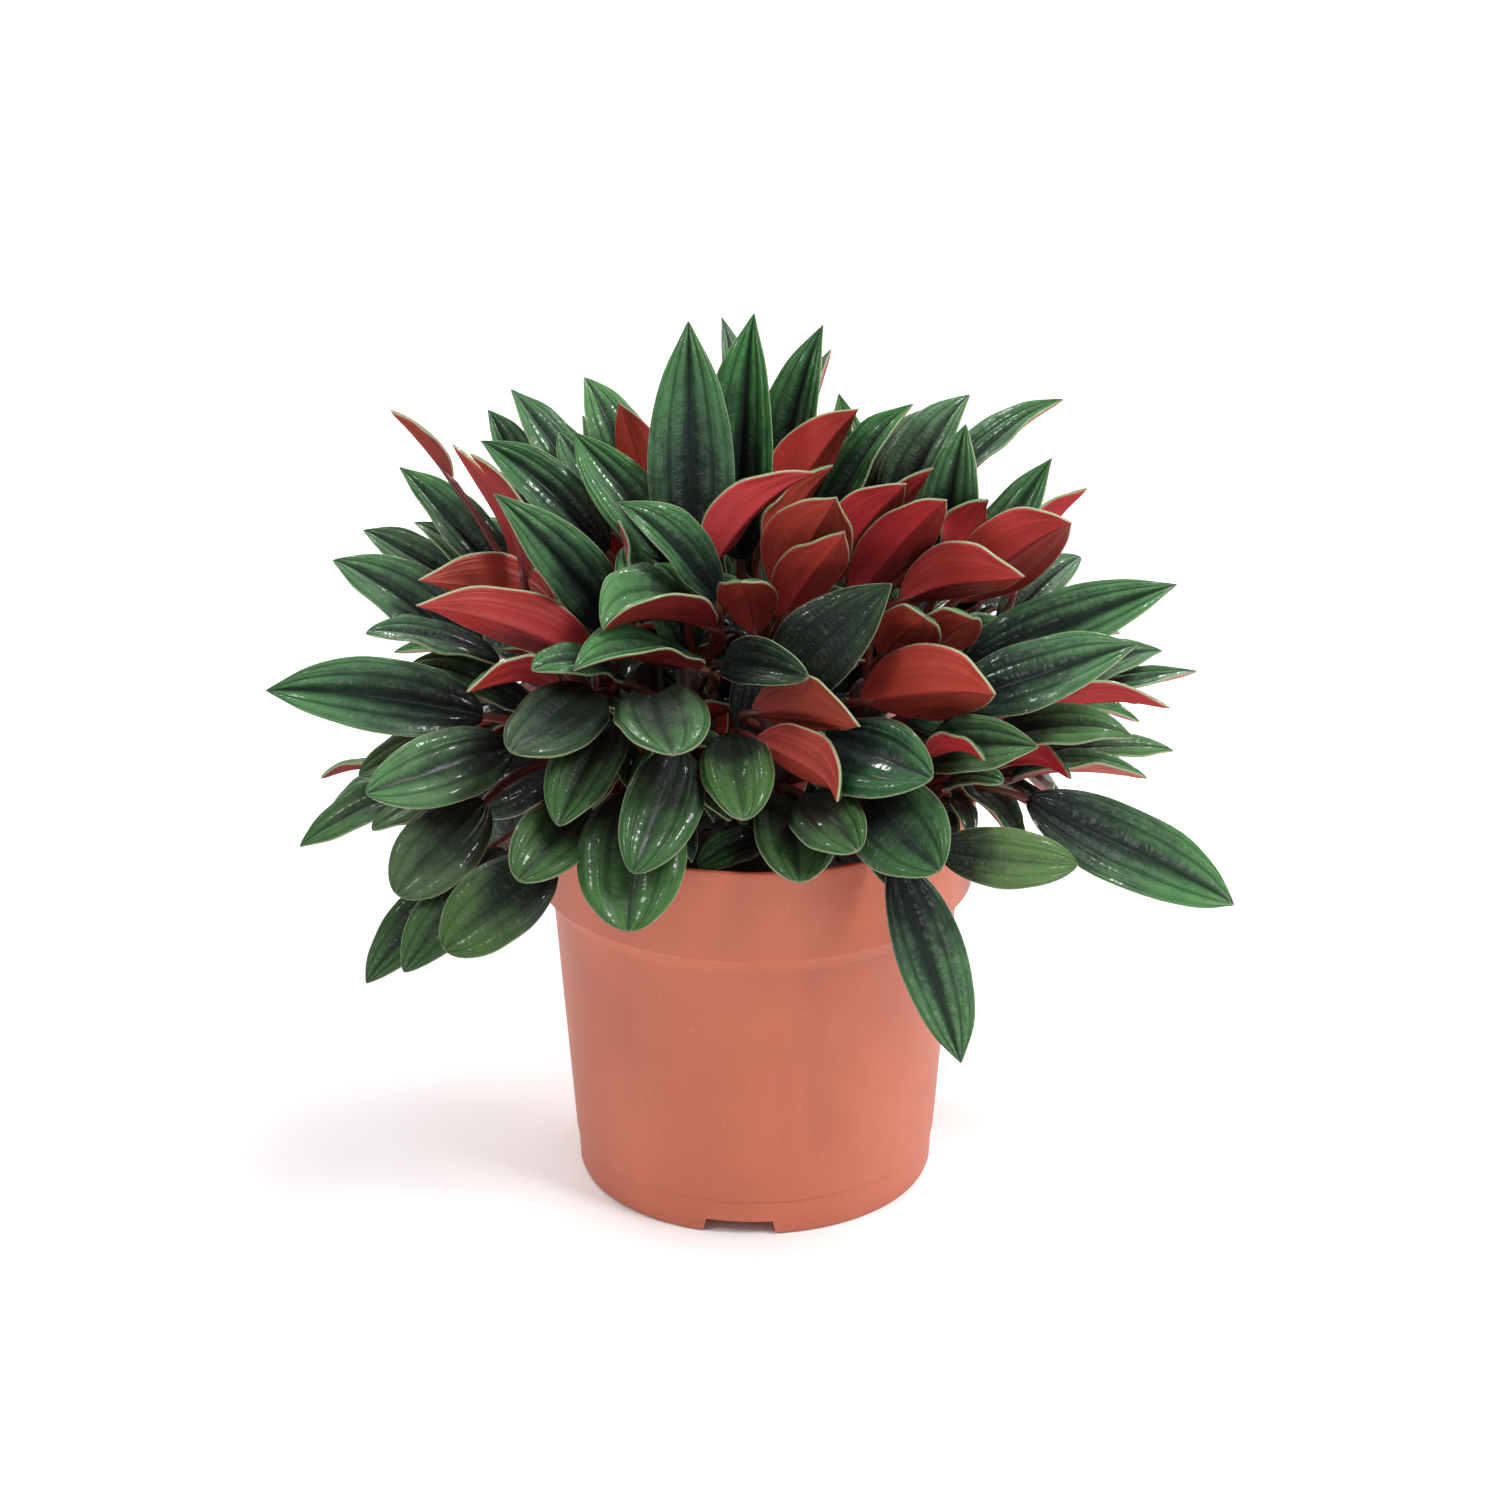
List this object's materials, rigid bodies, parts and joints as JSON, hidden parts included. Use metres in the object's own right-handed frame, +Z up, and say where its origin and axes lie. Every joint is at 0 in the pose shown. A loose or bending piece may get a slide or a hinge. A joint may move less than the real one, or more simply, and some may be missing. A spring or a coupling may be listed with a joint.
{
  "type": "potted peperomia plant",
  "caption": "Bushy leafy succulent with pointed, channelled leaves, dark green above and red beneath, growing from a plain round nursery pot.",
  "frame": {"origin": "middle of the pot's underside, on the surface it stands on", "axes": "+Z up along the pot's axis, -Y towards the viewer of the plant's front, +X to that viewer's right"},
  "size_m": [0.2595, 0.202, 0.2358],
  "materials": {
    "pot": "satin moulded plastic, terracotta colour",
    "soil": "rough dark peat",
    "foliage": "glossy ribbed leaf, dark green above and crimson beneath, with red petioles"
  },
  "bodies": {
    "root": {"pot": "pot", "soil": "soil", "crown_left": "foliage", "crown_centre_left": "foliage", "crown_front_left": "foliage", "crown_right": "foliage", "crown_front": "foliage", "crown_centre": "foliage", "crown_right_low": "foliage", "crown_back_left": "foliage", "crown_back_right": "foliage", "crown_back": "foliage"}
  },
  "joints": []
}
